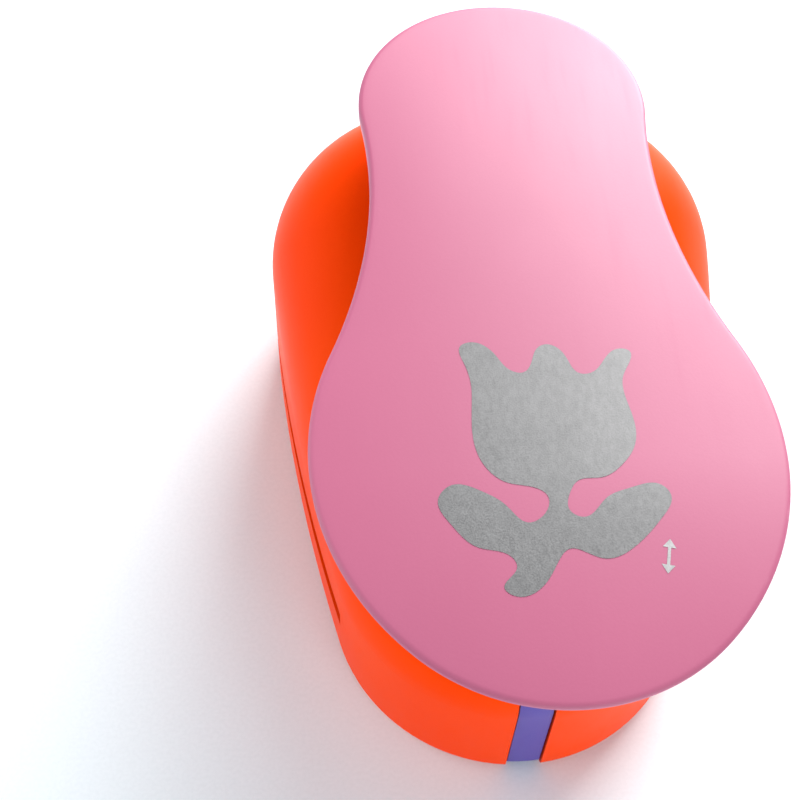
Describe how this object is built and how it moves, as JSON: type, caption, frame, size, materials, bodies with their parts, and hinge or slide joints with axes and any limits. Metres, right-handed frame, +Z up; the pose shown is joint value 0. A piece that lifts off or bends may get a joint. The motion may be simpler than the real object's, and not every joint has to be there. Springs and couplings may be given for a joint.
{
  "type": "craft punch",
  "caption": "Lever craft punch for paper: rounded casing, wide dished lever, tulip-shaped punch and die with a paper slot.",
  "frame": {"origin": "middle of the space the punch stands in, on the surface it stands on", "axes": "+Z up, +Y towards the far end where the paper goes in and the lever is hinged, X across; the wide end of the lever hangs over towards -Y"},
  "size_m": [0.0804, 0.13, 0.07],
  "materials": {
    "casing": "gloss moulded orange",
    "lever": "satin gloss moulded pink",
    "frame": "moulded violet",
    "die_metal": "ground zinc-coloured die metal",
    "punch_steel": "ground steel",
    "pin_steel": "bright drawn steel",
    "spring_steel": "spring wire",
    "screw_steel": "zinc-plated screws",
    "print_silver": "silver foil print, fine metallic grain"
  },
  "bodies": {
    "casing": {"left_shell": "casing", "right_shell": "casing", "inner_frame": "frame", "die_plate": "die_metal", "gap_spacer": "die_metal", "guide_block": "die_metal", "hinge_bracket": "frame", "hinge_pin": "pin_steel", "pin_clips": "pin_steel", "shell_screws": "screw_steel", "base_screws": "screw_steel", "die_screws": "screw_steel", "bracket_screws": "screw_steel", "guide_post_far_left": "pin_steel", "return_spring_far_left": "spring_steel", "guide_post_far_right": "pin_steel", "return_spring_far_right": "spring_steel", "guide_post_heel_left": "pin_steel", "return_spring_heel_left": "spring_steel", "guide_post_heel_right": "pin_steel", "return_spring_heel_right": "spring_steel"},
    "plunger": {"punch": "punch_steel", "punch_holder": "die_metal", "pusher": "frame", "wear_plate": "pin_steel", "punch_screws": "screw_steel"},
    "lever": {"lever": "lever"}
  },
  "joints": [
    {"name": "lever_hinge", "type": "hinge", "parent": "casing", "child": "lever", "pos_m": [0, 0.036, 0.048], "axis": [1, 0, 0], "range_deg": [0, 7.5], "stiffness_Nm_per_rad": 3, "springref_deg": -8.59},
    {"name": "plunger_slide", "type": "slide", "parent": "casing", "child": "plunger", "axis": [0, 0, -1], "range_m": [0, 0.00497], "stiffness_N_per_m": 1500, "springref_m": -0.003, "deforming": ["return_spring_far_left", "return_spring_far_right", "return_spring_heel_left", "return_spring_heel_right"]}
  ],
  "couplings": [
    {"joint": "lever_hinge", "follows": "plunger_slide", "rad_per_m": 26.316}
  ]
}
